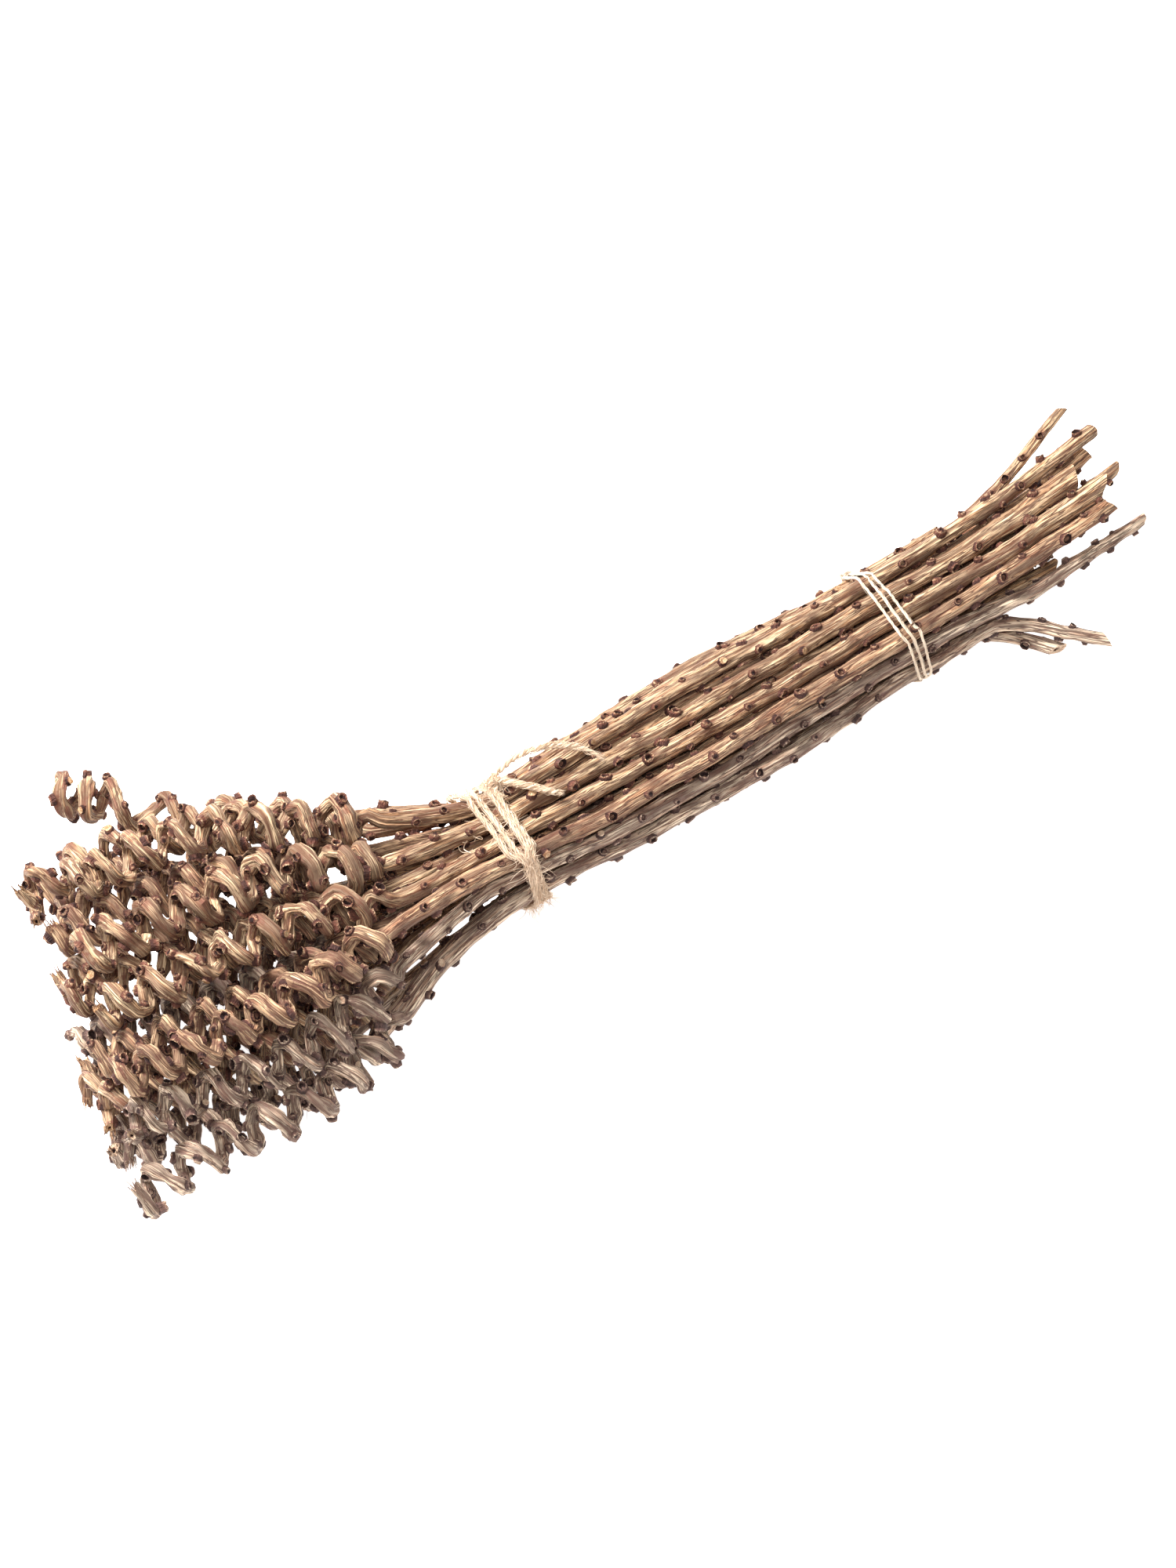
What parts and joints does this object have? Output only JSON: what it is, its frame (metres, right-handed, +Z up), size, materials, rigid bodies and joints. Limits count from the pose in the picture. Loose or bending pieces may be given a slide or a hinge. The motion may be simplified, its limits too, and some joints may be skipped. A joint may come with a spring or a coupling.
{
  "type": "bundle of twigs",
  "caption": "Bundle of dried cane stems with bud scars, tied twice with jute twine, each stem wound into a spring at one end and cut off at the other.",
  "frame": {"origin": "under the middle of the bundle's box, on the surface that it lies on", "axes": "+X along the stems from the springs towards the cut ends, +Y across the bundle, +Z up"},
  "size_m": [0.6562, 0.2396, 0.1162],
  "materials": {
    "cane_golden": "dry fibrous bark, matte",
    "cane_brown": "dry fibrous bark, matte",
    "cane_grey": "weathered fibrous bark, matte",
    "jute": "hairy twisted twine",
    "jute_fine": "thin twisted twine"
  },
  "bodies": {
    "root": {"twig_01": "cane_grey", "twig_02": "cane_golden", "twig_03": "cane_brown", "twig_04": "cane_golden", "twig_05": "cane_grey", "twig_06": "cane_golden", "twig_07": "cane_brown", "twig_08": "cane_golden", "twig_09": "cane_brown", "twig_10": "cane_grey", "twig_11": "cane_golden", "twig_12": "cane_grey", "twig_13": "cane_golden", "twig_14": "cane_brown", "twig_15": "cane_golden", "twig_16": "cane_grey", "twig_17": "cane_brown", "twig_18": "cane_golden", "twig_19": "cane_brown", "twig_20": "cane_golden", "twig_21": "cane_brown", "twig_22": "cane_golden", "twig_23": "cane_golden", "twig_24": "cane_golden", "lower_tie": "jute", "upper_tie": "jute_fine", "long_tail": "jute", "short_tail": "jute"}
  },
  "joints": []
}
